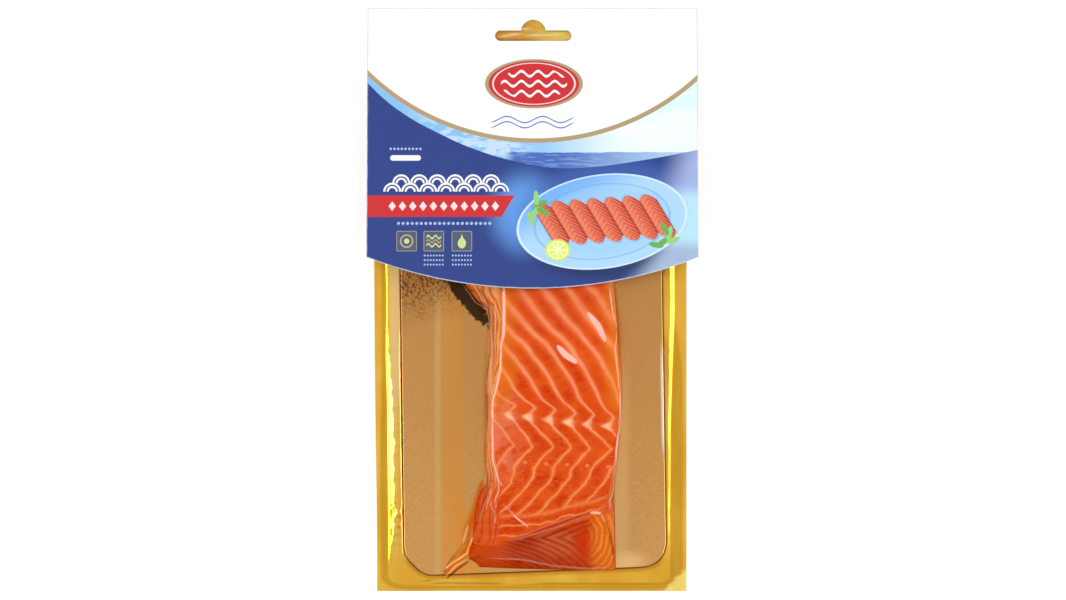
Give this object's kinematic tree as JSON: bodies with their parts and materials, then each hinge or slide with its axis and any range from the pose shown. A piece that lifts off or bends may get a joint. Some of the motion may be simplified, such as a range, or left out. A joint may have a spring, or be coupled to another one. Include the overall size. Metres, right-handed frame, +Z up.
{
  "type": "pack of smoked trout fillet",
  "caption": "Flat retail pack of smoked trout: a fillet slice vacuum sealed on a gold board in a gold-backed pouch, under a folded header card with a hanging slot.",
  "frame": {"origin": "middle of the pack's footprint, on the surface that it lies on", "axes": "+Z up out of the pack's face, +Y along the pack towards the card's fold, +X to the viewer's right as one faces the print"},
  "size_m": [0.1386, 0.245, 0.0327],
  "materials": {
    "printed_card": "gloss",
    "gold_film": "gloss",
    "gold_board": "satin",
    "trout_flesh": "gloss",
    "clear_film": "gloss"
  },
  "bodies": {
    "root": {"header_card": "printed_card", "gold_back_film": "gold_film", "gold_board": "gold_board", "fillet_in_clear_film": "trout_flesh"}
  },
  "joints": []
}
